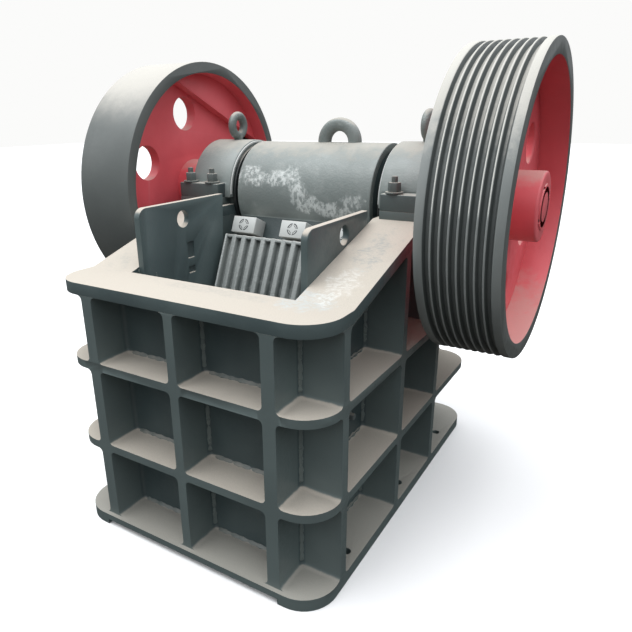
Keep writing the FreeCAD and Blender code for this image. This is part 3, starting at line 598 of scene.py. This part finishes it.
class BuildFrame(Piece):
    """Fabricated box frame: walls, ribs, shelves, base flange and the stepped top flange"""
    bl_idname = "crusher.build_frame"
    bl_label = "Frame"

    def build(self, sizes):
        tiers = frame_levels()
        side = [(SHELF_FRONT, 0), (SHELF_REAR, 0), (SHELF_REAR, RIM_LOW.z), (BAND_REAR - FLANGE, RIM_LOW.z),
                (SEAT_REAR - FLANGE, UNDER), (SEAT_FRONT, UNDER), (BAND_FRONT, RIM_LOW.z), (SHELF_FRONT, RIM_LOW.z)]
        block = to_mesh(outline_mesh(side, "X", -EDGE, EDGE))
        block = carve(block, slab((SHELF_FRONT, SHELF_REAR), -10, 1200), "INTERSECT")
        block = carve(block, slab((BASE_FRONT, BASE_REAR), 0, BASE_TOP), "UNION")
        front_face, rear_face = FRONT_WALL[0].y, REAR_WALL[1].y
        cutters = [box_mesh((-INSIDE, INSIDE), (FRONT_WALL[1].y, REAR_WALL[0].y), (-20, 1300))]
        far = 90.0  # how far each bay's cutter runs out past the plates
        for index, (low, high) in enumerate(tiers):
            for x in ((-INSIDE, -RIB / 2), (RIB / 2, INSIDE)):
                cutters.append(pocket(sizes, x, (BASE_FRONT - far, front_face), (low, high)))
                cutters.append(pocket(sizes, x, (rear_face, BASE_REAR + far), (low, high)))
            for sign in (-1, 1):
                def across(a, b):
                    return (a, b) if sign > 0 else (-b, -a)
                x = across(OUTSIDE, EDGE + far)
                cutters.append(pocket(sizes, x, (BASE_FRONT - far, front_face), (low, high)))
                for span in side_bays(BASE_REAR + far):
                    if index < 2:
                        cutters.append(pocket(sizes, x, span, (low, high)))
                        continue
                    bends = (SEAT_FRONT, SEAT_REAR - FLANGE, BAND_REAR - FLANGE)
                    ys = [span[0], *(y for y in bends if span[0] < y < span[1]), span[1]]
                    top = [(y, min(band_under(y), UNDER) if y < BAND_REAR - FLANGE else RIM_LOW.z) for y in ys]
                    points = [(span[0], low), (span[1], low), *reversed(top)]
                    cutters.append(outline_mesh(points, "X", x[0], x[1], sizes.bay_corner / MM, 4))
        block = carve(block, to_mesh(*cutters))
        cutters = []
        for y in ((BASE_FRONT - 20, front_face), (rear_face, BASE_REAR + 20)):
            cutters.append(box_mesh((-OUTSIDE, OUTSIDE), y, (-20, 20)))
        for sign in (-1, 1):
            for step in (-1, 0, 1):
                cutters.append(disc_mesh((-10, BASE_TOP + 10), ANCHOR_HOLE, (sign * ANCHOR_OUT, step * ANCHOR_STEP),
                                         "Z", 32))
        block = carve(carve(block, to_mesh(*cutters)), housing_notch())
        show("frame_box", soften(block, sizes.plate_edge / MM, 2), "frame", finish_of("frame"), (
            "side_wall_left", "side_wall_right", "front_wall", "rear_wall",
            *(f"{part}_{side}" for part in ("base_flange", "shelves", "ribs") for side in SIDES)))

        welds = []
        for index, (low, high) in enumerate(tiers):
            for face in (front_face, rear_face):
                for x in (-OUTSIDE, -RIB / 2, RIB / 2, OUTSIDE):
                    welds.append(bead((x, face, low + BACK_OFF), (x, face, high - BACK_OFF), WELD, seed=x + index))
                for a, b in ((-INSIDE, -RIB / 2), (RIB / 2, INSIDE)):
                    for z, size, seed in ((high, WELD + 1, a), (low, WELD, b)):
                        welds.append(bead((a + BACK_OFF, face, z), (b - BACK_OFF, face, z), size, seed=seed + index))
            for x in (-OUTSIDE, OUTSIDE):
                for y in (FRONT_WALL[0].y, *(y for bay in side_bays(rear_face) for y in bay)):
                    top = high if index < 2 else band_under(y)
                    welds.append(bead((x, y, low + BACK_OFF), (x, y, top - BACK_OFF), WELD, seed=y + index))
                for a, b in side_bays(rear_face):
                    welds.append(bead((x, a + BACK_OFF, low), (x, b - BACK_OFF, low), WELD, seed=a))
                    if index < 2:
                        welds.append(bead((x, a + BACK_OFF, high), (x, b - BACK_OFF, high), WELD + 1, seed=b))
        show("frame_welds", to_mesh(*welds), "frame", finish_of("weld"))

        # Two liner bolts come through each side wall in the second tier.
        middle = (tiers[1][0] + tiers[1][1]) / 2
        stub = []
        for y, z in (((FRONT_WALL[1].y + MID_RIB - RIB) / 2 + 40, middle - 15), (MID_RIB + 150, middle + 30)):
            for sign in (-1, 1):
                stub += hex_nut((sign * OUTSIDE, y, z), "X", 46, sign * 24, True, 22)
        show("liner_bolts", to_mesh(*stub), "frame", finish_of("fastener"))

        top = slab((SHELF_FRONT, SHELF_REAR), RIM_LOW.z, RIM_HIGH.z)
        rim = carve(top, to_mesh(box_mesh((-EDGE - 20, EDGE + 20), (BAND_FRONT, BAND_REAR), (900, 1000))))
        low, high = RIM_LOW.z, RIM_HIGH.z
        band = [(BAND_FRONT - 1, low), (BAND_FRONT, low), (SEAT_FRONT, UNDER), (SEAT_REAR - FLANGE, UNDER),
                (BAND_REAR - FLANGE, low), (BAND_REAR + 1, low), (BAND_REAR + 1, high), (BAND_REAR, high),
                (SEAT_REAR, SEAT_TOP), (SEAT_FRONT, SEAT_TOP), (BAND_FRONT, high), (BAND_FRONT - 1, high)]
        for x in ((INSIDE, EDGE), (-EDGE, -INSIDE)):
            rim = carve(rim, to_mesh(outline_mesh(band, "X", *x)), "UNION")
        rim = carve(rim, housing_notch())
        show("top_flange", soften(rim, sizes.rim_edge / MM, 3), "frame", finish_of("flange"),
             tuple(f"top_flange_{side}" for side in SIDES))


# Each cheek plate's side, sign along X, and the place of its lifting hole.
CHEEKS = (("left", -1, (-292, 1128)), ("right", 1, (-236, 1115)))
CHEEK_HOLE = 33.0
CHEEK_LEAN = 50.0


class BuildCheeks(Piece):
    """Cheek plates that line the chamber above the frame"""
    bl_idname = "crusher.build_cheeks"
    bl_label = "Cheek plates"

    def build(self, sizes):
        for side, sign, hole in CHEEKS:
            low, high = reach(f"cheek_plate_{side}")
            bend = sizes.cheek_nose / MM
            nose = [(low.y + bend - bend * math.cos(turn), high.z - bend + bend * math.sin(turn))
                    for turn in (math.radians(9 * k) for k in range(11))]
            foot = high.y - CHEEK_LEAN
            outline = [(low.y, low.z), *nose, (high.y, high.z), (foot, low.z)]
            plate = to_mesh(outline_mesh(outline, "X", low.x, high.x))
            cutters = [disc_mesh((low.x - 5, high.x + 5), CHEEK_HOLE, hole, "X", 48)]
            inner = low.x if sign > 0 else high.x
            # The left cheek has a square recess and a slot below its hole.
            if sign < 0:
                for z in ((969, 1033), (908, 935)):
                    cutters.append(box_mesh((inner - 6, inner + 5), (-278, -240), z, 3, 2))
            plate = soften(carve(plate, to_mesh(*cutters)), 4, 3)
            show(f"cheek_{side}", plate, "frame", finish_of("frame"), (f"cheek_plate_{side}",))
            across, edge = low.y + 60, sign * INSIDE
            beads = [bead((inner, across, RIM_HIGH.z - 60), (inner, across, RIM_HIGH.z - 20), 5),
                     bead((edge, low.y - 1, RIM_LOW.z - 10), (edge, low.y - 1, RIM_HIGH.z + 3), 7)]
            show(f"cheek_weld_{side}", to_mesh(*beads), "frame", finish_of("weld"))


COVER_BOLT_CIRCLE = 178.0
COVER_BOLT_INSET = 11.6


class BuildBearings(Piece):
    """Bearing housings, their caps, covers, lifting eyes, studs and nuts"""
    bl_idname = "crusher.build_bearings"
    bl_label = "Bearings"

    def build(self, sizes):
        for side in ("left", "right"):
            show_cad(f"bearing_base_{side}", f"bearing_base_{side}_casting", 5, 3, "frame", "housing_and_shade")
            dome = show_cad(f"bearing_cap_{side}", f"bearing_cap_{side}_casting", 7, 3, "frame",
                            "casting")
            # The bolting lugs carry the frame's dark enamel, up to where they meet the dome.
            radius = CAP[1].z - SHAFT_Z + 1.0
            lug_top = (SHAFT_Z + radius * 0.6) * MM
            repaint(dome, "housing_and_shade", lambda face: from_shaft(face.center) > radius and face.center.z < lug_top)
            # Nuts are 0.8 of their width tall, and sit just above the foot of the stud.
            parts = []
            for low, high in islands(f"cap_studs_{side}"):
                middle, tall = (low + high) / 2, high.z - low.z
                across, seat = (high.x - low.x) * 0.88, tall * 0.06
                stud = tall - seat - WASHER - across * 0.8
                parts += hex_nut((middle.x, middle.y, low.z + seat), "Z", across, across * 0.8, True,
                                 min(stud, across * 0.9), 0.2)
            show(f"cap_nuts_{side}", to_mesh(*parts), "frame", finish_of("fastener"),
                 (f"cap_studs_{side}",))
            sign = -1 if side == "left" else 1
            cap = reach(f"bearing_cap_{side}")
            face = cap[0].x if sign > 0 else cap[1].x
            near, far = face - sign * 0.5, face - sign * 4
            lip = lathe([(near, 214), (near, 204), (far, 206), (far, 212)], 96)
            show(f"cap_inner_lip_{side}", half_ring(lip), "frame", finish_of("block"))
        show_cad("cap_eyes", "cap_lifting_eyes", 2, 2, "frame", "eye")
        show_cad("bearing_covers", "inner_covers", 2, 2, "frame", "seal_and_shade")
        for side, sign in (("left", -1), ("right", 1)):
            low, high = reach(f"bearing_cap_{side}")
            bolts = []
            for face, way in ((low.x, -1), (high.x, 1)):
                for turn in (math.radians(15 + 30 * index) for index in range(6)):
                    spot = (face - way * COVER_BOLT_INSET, SHAFT_Y + COVER_BOLT_CIRCLE * math.cos(turn),
                            SHAFT_Z + COVER_BOLT_CIRCLE * math.sin(turn))
                    bolts += hex_nut(spot, "X", 24, way * 11.0, False)
            show(f"cover_bolts_{side}", to_mesh(*bolts), "frame", finish_of("fastener"))


def half_ring(bm):
    """Keeps the part of a turned mesh above the shaft's line."""
    cut = bmesh.ops.bisect_plane(bm, geom=bm.verts[:] + bm.edges[:] + bm.faces[:], plane_co=(0, 0, SHAFT_Z + 2),
                                 plane_no=(0, 0, -1), clear_outer=True)
    bmesh.ops.edgeloop_fill(bm, edges=[e for e in cut["geom_cut"] if isinstance(e, bmesh.types.BMEdge)])
    return to_mesh(bm)


BLOCK_HALF_DEPTH = 37.3
MARK_DEPTH = (-0.6, 0.8)


class BuildJaws(Piece):
    """Fixed jaw plate, swing jaw plate and the blocks that clamp it"""
    bl_idname = "crusher.build_jaws"
    bl_label = "Jaw plates"

    def build(self, sizes):
        show_cad("fixed_jaw_plate", "fixed_plate", 5, 3, "frame", "jaw")
        show_cad("swing_jaw_plate", "swing_plate", 6, 3, "swing_jaw", "jaw")
        # Each block's face carries a broken circle, 48 across, round a small square set on its corner, drawn as dark
        # rings of painted shade.
        lean = Matrix.Rotation(-math.radians(JAW_LEAN), 4, "X")
        marks = []
        for low, high in islands("jaw_clamp_blocks"):
            face = (low + high) / 2 + lean @ Vector((0, -BLOCK_HALF_DEPTH, 0))
            for quarter in range(4):
                arc = [math.radians(90 * quarter + 8 + 74 * k / 8) for k in range(9)]
                ring = [(24 * math.cos(t), 24 * math.sin(t)) for t in arc]
                ring += [(20 * math.cos(t), 20 * math.sin(t)) for t in reversed(arc)]
                marks.append(outline_mesh(ring, "Y", *MARK_DEPTH))
                edge = box_mesh((-9, 9), MARK_DEPTH, (13.2, 15.4))
                edge.transform(Matrix.Rotation(math.radians(45 + 90 * quarter), 4, "Y"))
                marks.append(edge)
                for mark in marks[-2:]:
                    mark.transform(Matrix.Translation(face) @ lean)
        show("clamp_mark_shade_rings", to_mesh(*marks), "swing_jaw", finish_of("seal_and_shade"))
        # The swing plate's top edge is a rounded lip that the ridges run into.
        low, high = reach("swing_jaw_plate")
        lip = box_mesh((low.x + 3, high.x - 3), (1.5, 60), (-15, -1), 5, 3)
        lip.transform(Matrix.Translation((0, PLATE_EDGE_Y, PLATE_EDGE_Z)) @ lean)
        show("swing_plate_lip", to_mesh(lip), "swing_jaw", finish_of("jaw"))
        show_cad("jaw_clamp_blocks", "clamp_blocks", 2.5, 2, "swing_jaw", "block")


RING_HALF = 26.5
RING_SIDES = 20


class BuildSwingJaw(Piece):
    """Swing jaw casting, its end covers and lifting ring"""
    bl_idname = "crusher.build_swing_jaw"
    bl_label = "Swing jaw"

    def build(self, sizes):
        casting = show_cad("swing_jaw", "swing_jaw_casting", 9, 4, "swing_jaw", "casting")
        # Painted shade: the stock below the barrel takes the dark housing enamel, standing for the shadow in the
        # recess between the clamp blocks.
        barrel = BARREL[1].z - SHAFT_Z + 2.0
        repaint(casting, "housing_and_shade", lambda face: from_shaft(face.center) > barrel)
        show_cad("jaw_end_covers", "end_covers", 2, 2, "swing_jaw", "frame")
        low, high = reach("jaw_lifting_ring")
        middle, crown = (low.x + high.x) / 2, high.z - (high.x - low.x) / 2
        bend = (high.x - low.x) / 2 - RING_HALF
        foot, knee = low.z - 6, (low.z + crown) / 2
        path = [(middle + bend, foot, 0.0), (middle + bend, knee, 0.0)]
        path += [(middle + bend * math.cos(turn), crown + bend * math.sin(turn), turn)
                 for turn in (math.pi * k / 28 for k in range(29))]
        path += [(middle - bend, knee, math.pi), (middle - bend, foot, math.pi)]
        ring = bmesh.new()
        loops = []
        for x, z, turn in path:
            loop = []
            for k in range(RING_SIDES):
                around = 2 * math.pi * k / RING_SIDES
                # A power below one squares the round section off, as a forging die does.
                out, along = (math.copysign(abs(f) ** 0.75, f) for f in (math.cos(around), math.sin(around)))
                loop.append(ring.verts.new((x + math.cos(turn) * out * RING_HALF,
                                            (low.y + high.y) / 2 + along * (high.y - low.y) / 2,
                                            z + math.sin(turn) * out * RING_HALF)))
            loops.append(loop)
        skin(ring, loops)
        show("lifting_ring", to_mesh(ring), "swing_jaw",
             finish_of("eye"), ("jaw_lifting_ring",))


class BuildWheels(Piece):
    """Eccentric shaft, plain flywheel and grooved drive pulley"""
    bl_idname = "crusher.build_wheels"
    bl_label = "Shaft and wheels"

    def build(self, sizes):
        shaft = show_cad("eccentric_shaft", "shaft", 3, 2, "rotor", "shaft")
        # The shaft's ends were sprayed over with the wheels.
        low, high = reach("eccentric_shaft")
        repaint(shaft, "wheel_red", lambda face: not low.x + 8 < face.center.x / MM < high.x - 8)
        for wheel in ("flywheel", "drive_pulley"):
            ring = show_cad(f"{wheel}_ring", f"{wheel}_rim", 3, 2, "rotor", "rim")
            spans = [from_shaft(v.co) for v in ring.data.vertices]
            inner, outer = min(spans) + 2.2, max(spans) - 45
            repaint(ring, "wheel_red", lambda face: from_shaft(face.center) < inner and abs(face.normal.x) < 0.9)
            if wheel == "drive_pulley":
                repaint(ring, "grooves", lambda face: from_shaft(face.center) > outer and abs(face.normal.x) < 0.9)
            show_cad(f"{wheel}_web", f"{wheel}_disc", 8, 3, "rotor", "wheel_red")
        for wheel, way, tip in (("drive_pulley", 1, high.x), ("flywheel", -1, low.x)):
            web = reach(f"{wheel}_web")
            face = web[1].x if way > 0 else web[0].x
            depth = abs(tip - face)
            show(f"{wheel}_lock_ring", shaft_end(face, way, depth), "rotor", finish_of("wheel_red"))
            key = box_mesh(sorted((face - way * 2, face + way * min(depth, 4) * 0.9)),
                           (SHAFT_Y - 16, SHAFT_Y + 16), (SHAFT_Z + 44, SHAFT_Z + 70), 1)
            show(f"{wheel}_key", to_mesh(key), "rotor", finish_of("wheel_red"))


def shaft_end(face, way, depth):
    """A lock ring with four notches round the shaft's end, on a hub's face."""
    ring = to_mesh(lathe([(face, 52), (face, 82), (face + way * depth, 80), (face + way * depth, 52)], 72))
    slots = []
    for index in range(4):
        turn = math.radians(30 + 90 * index)
        y, z = SHAFT_Y + 80 * math.cos(turn), SHAFT_Z + 80 * math.sin(turn)
        slots.append(disc_mesh(sorted((face - way, face + way * 12)), 9, (y, z), "X", 16))
    ring = carve(ring, to_mesh(*slots))
    return soften(ring, 1.2, 2)


class BuildToggle(Piece):
    """Toggle plate and its seat behind the jaw"""
    bl_idname = "crusher.build_toggle"
    bl_label = "Toggle"

    def build(self, sizes):
        show_cad("toggle_plate", "toggle", 8, 3, "frame", "casting")
        show_cad("toggle_seat", "toggle_block", 6, 3, "frame", "frame")


# The camera: focal length and shifts, place in metres, and its right, up and back axes.
LENS = (33.417, 0.0394, 0.0188)
CAMERA_AT = (1.2354, SHAFT_Y * MM - 2.26082, 1.50152)
CAMERA_AXES = ((0.85016, 0.52635, -0.0137), (-0.16902, 0.29745, 0.93966), (0.49866, -0.79654, 0.34185))
# Each light: name, place in metres, watts and width in metres.
LIGHTS = (("overhead", (-1.2, -1.0, 5.0), 122, 3.6), ("left", (-4.5, -2.5, 3.2), 8, 2.6))


def floor_finish():
    """Pale floor whose bounce on the machine is that of dark yard concrete."""
    material = bpy.data.materials.new("Pale_studio_floor")
    material.use_nodes = True
    tree = material.node_tree
    tree.nodes.clear()
    seen = add(tree, "ShaderNodeLightPath").outputs["Is Camera Ray"]
    grain = add(tree, "ShaderNodeTexNoise", {"Scale": 40.0}).outputs[0]
    pale = add(tree, "ShaderNodeMapRange", {"Value": grain, "To Min": 0.9, "To Max": 0.93}).outputs[0]
    shown = add(tree, "ShaderNodeBsdfPrincipled", {"Base Color": pale, "Roughness": 0.95})
    bounced = add(tree, "ShaderNodeBsdfDiffuse", {"Color": linear("#4a4845")})
    both = add(tree, "ShaderNodeMixShader", {0: seen, 1: bounced.outputs[0], 2: shown.outputs[0]})
    add(tree, "ShaderNodeOutputMaterial", {"Surface": both.outputs[0]})
    return material


def overcast_sky():
    """Even white behind the machine, and light that falls off from the zenith to the horizon."""
    world = bpy.data.worlds.new("Overcast_sky")
    world.use_nodes = True
    tree = world.node_tree
    tree.nodes.clear()
    way = add(tree, "ShaderNodeTexCoord").outputs["Generated"]
    height = add(tree, "ShaderNodeSeparateXYZ", {0: way}).outputs["Z"]
    strength = add(tree, "ShaderNodeMapRange", {"Value": height, "From Min": 0.0, "From Max": 1.0,
                                                "To Min": 0.17, "To Max": 2.4}).outputs[0]
    sky = add(tree, "ShaderNodeBackground", {"Color": linear("#f6f8fb"), "Strength": strength})
    back = add(tree, "ShaderNodeBackground", {"Color": linear("#fbfbfa"), "Strength": 1.0})
    seen = add(tree, "ShaderNodeLightPath").outputs["Is Camera Ray"]
    both = add(tree, "ShaderNodeMixShader", {0: seen, 1: sky.outputs[0], 2: back.outputs[0]})
    add(tree, "ShaderNodeOutputWorld", {"Surface": both.outputs[0]})
    return world


class BuildStage(Piece):
    """Pale floor, soft lights and the camera"""
    bl_idname = "crusher.build_stage"
    bl_label = "Stage"

    def build(self, sizes):
        scene = bpy.context.scene
        floor = bpy.data.objects.new("floor", to_mesh(box_mesh((-30000, 30000), (-30000, 30000), (-60, -1))))
        scene.collection.objects.link(floor)
        floor.data.materials.append(floor_finish())
        scene.world = overcast_sky()
        for name, place, energy, size in LIGHTS:
            light = bpy.data.lights.new(name, "AREA")
            light.energy = energy
            light.shape = "DISK"
            light.size = size
            item = bpy.data.objects.new(name, light)
            item.location = place
            item.rotation_euler = (Vector((0, 0, 0.8)) - Vector(place)).to_track_quat("-Z", "Y").to_euler()
            scene.collection.objects.link(item)
        lens = bpy.data.cameras.new("camera")
        lens.sensor_width = 36.0
        lens.lens, lens.shift_x, lens.shift_y = LENS
        lens.clip_end = 100.0
        camera = bpy.data.objects.new("camera", lens)
        camera.matrix_world = Matrix.Translation(CAMERA_AT) @ Matrix(CAMERA_AXES).transposed().to_4x4()
        scene.collection.objects.link(camera)
        scene.camera = camera
        scene.view_settings.view_transform = "Standard"


# ---------------------------------------------------------------- add-on

PAINT = {"subtype": "COLOR", "size": 4, "min": 0, "max": 1}


class CrusherColours(bpy.types.PropertyGroup):
    """Paint colours that a user would change"""
    frame_light: bpy.props.FloatVectorProperty(name="Frame paint", description="Green-grey enamel where it is fresh",
                                               default=linear("#4f5d5e"), **PAINT)
    frame_dark: bpy.props.FloatVectorProperty(name="Frame shade", description="The same enamel where it is thin",
                                               default=linear("#3f4d4f"), **PAINT)
    casting: bpy.props.FloatVectorProperty(name="Casting paint", description="Enamel over the sand castings",
                                               default=linear("#7a8280"), **PAINT)
    red_light: bpy.props.FloatVectorProperty(name="Wheel red", description="Red enamel inside the wheels",
                                               default=linear("#ea6870"), **PAINT)
    red_dark: bpy.props.FloatVectorProperty(name="Wheel red shade", description="Red enamel where it is thin",
                                               default=linear("#dc5b63"), **PAINT)


class CrusherSizes(bpy.types.PropertyGroup):
    """Sizes that a user would change"""
    bay_corner: bpy.props.FloatProperty(name="Bay corner", description="Radius of the fillets inside the bays",
                                        default=0.018, min=0.002, max=0.03, unit="LENGTH")
    plate_edge: bpy.props.FloatProperty(name="Plate edge", description="Radius on the edges of ribs and shelves",
                                        default=0.004, min=0.001, max=0.01, unit="LENGTH")
    cheek_nose: bpy.props.FloatProperty(name="Cheek nose", description="Radius of a cheek plate's front top corner",
                                        default=0.038, min=0.01, max=0.06, unit="LENGTH")
    rim_edge: bpy.props.FloatProperty(name="Rim edge", description="Radius on the edges of the top flange",
                                      default=0.007, min=0.001, max=0.015, unit="LENGTH")


OPERATORS = (BuildFrame, BuildCheeks, BuildBearings, BuildJaws, BuildSwingJaw, BuildWheels, BuildToggle, BuildStage)


class CrusherPanel(bpy.types.Panel):
    """Lists the crusher's pieces"""
    bl_idname = "VIEW3D_PT_crusher"
    bl_label = "Jaw crusher"
    bl_space_type = "VIEW_3D"
    bl_region_type = "UI"
    bl_category = "Crusher"

    def draw(self, context):
        sizes = context.scene.crusher_sizes
        for key in CrusherSizes.__annotations__:
            self.layout.prop(sizes, key)
        colours = context.scene.crusher_colours
        for key in CrusherColours.__annotations__:
            self.layout.prop(colours, key)
        for kind in OPERATORS:
            self.layout.operator(kind.bl_idname)


CLASSES = (CrusherSizes, CrusherColours, *OPERATORS, CrusherPanel)


def register():
    for kind in CLASSES:
        bpy.utils.register_class(kind)
    bpy.types.Scene.crusher_sizes = bpy.props.PointerProperty(type=CrusherSizes)
    bpy.types.Scene.crusher_colours = bpy.props.PointerProperty(type=CrusherColours)


def unregister():
    del bpy.types.Scene.crusher_colours
    del bpy.types.Scene.crusher_sizes
    for kind in reversed(CLASSES):
        bpy.utils.unregister_class(kind)


def main():
    register()
    for kind in OPERATORS:
        group, name = kind.bl_idname.split(".")
        getattr(getattr(bpy.ops, group), name)()


if __name__ == "__main__":
    main()
